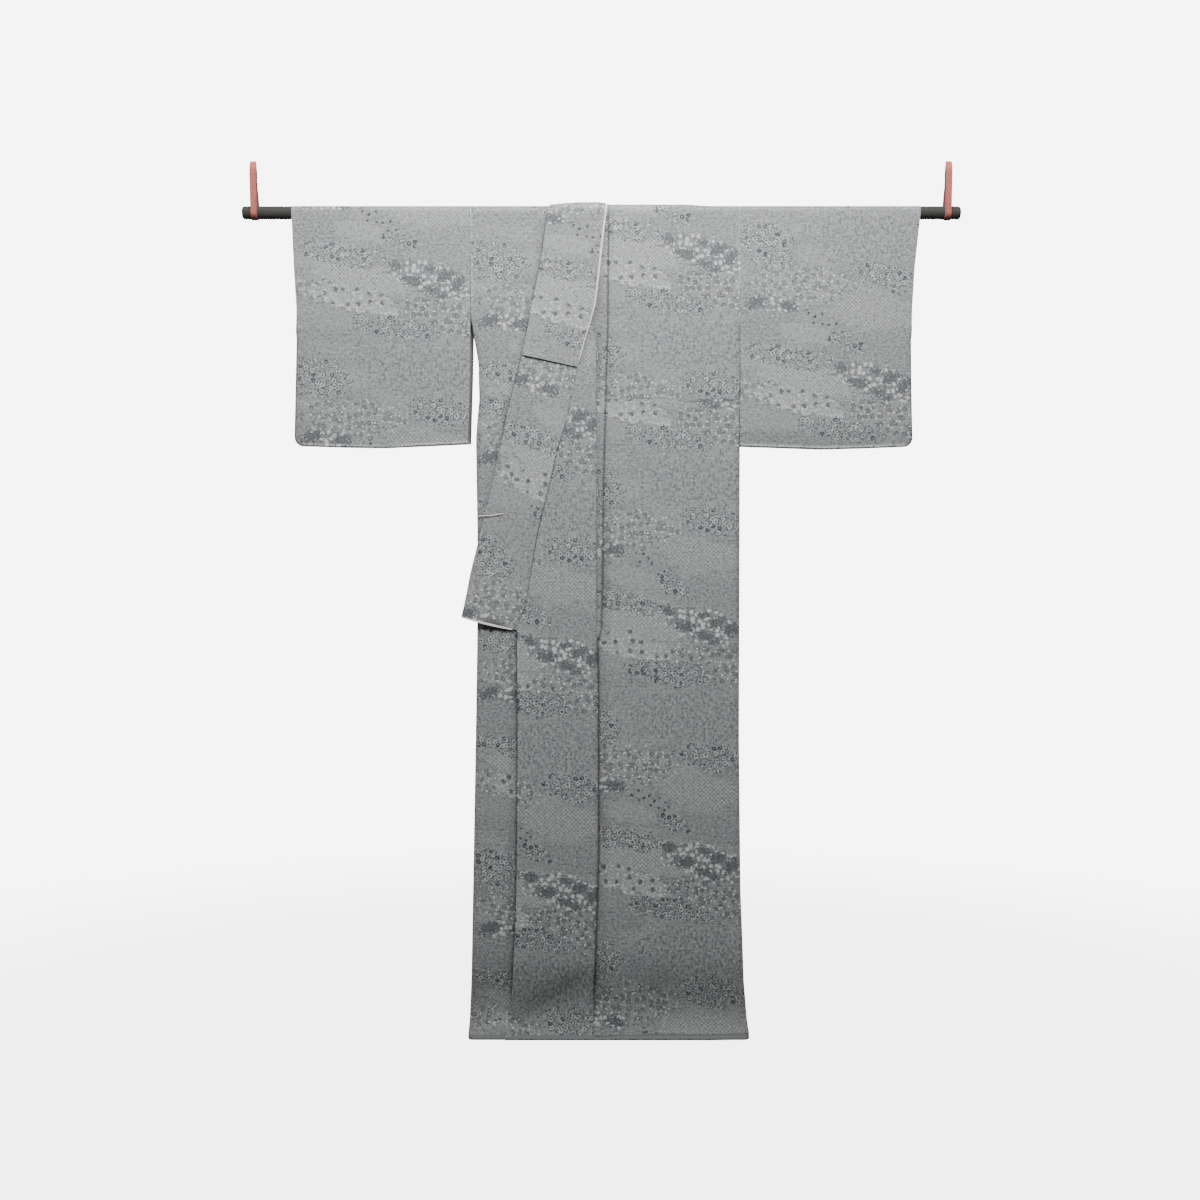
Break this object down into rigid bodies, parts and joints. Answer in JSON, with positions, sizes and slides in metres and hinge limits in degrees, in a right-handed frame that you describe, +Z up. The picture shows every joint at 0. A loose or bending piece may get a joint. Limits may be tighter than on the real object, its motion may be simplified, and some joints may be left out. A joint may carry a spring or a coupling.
{
  "type": "silk kimono on a hanging rod",
  "caption": "Women's lined silk kimono, closed left over right, hung flat by its sleeves on a black lacquered rod with two strap loops.",
  "frame": {"origin": "the rod's axis above the kimono's centre back seam, where the rod holds the kimono", "axes": "+Z up along the kimono's length, +X along the rod towards the wearer's left sleeve, and the front faces -Y"},
  "size_m": [1.3995, 0.0438, 1.7102],
  "materials": {
    "silk": "dark grey patterned silk with a soft sheen",
    "lining": "plain blue grey silk lining",
    "lacquer": "black gloss lacquer",
    "strap": "dusty red woven strap"
  },
  "bodies": {
    "root": {"body_left": "silk", "body_right": "silk", "okumi_left": "silk", "okumi_right": "silk", "collar_left": "silk", "collar_right": "silk", "over_collar": "silk", "sleeve_left": "silk", "sleeve_right": "silk", "hem_lining_left": "lining", "hem_lining_right": "lining", "hanging_rod": "lacquer", "loop_left": "strap", "loop_right": "strap"}
  },
  "joints": []
}
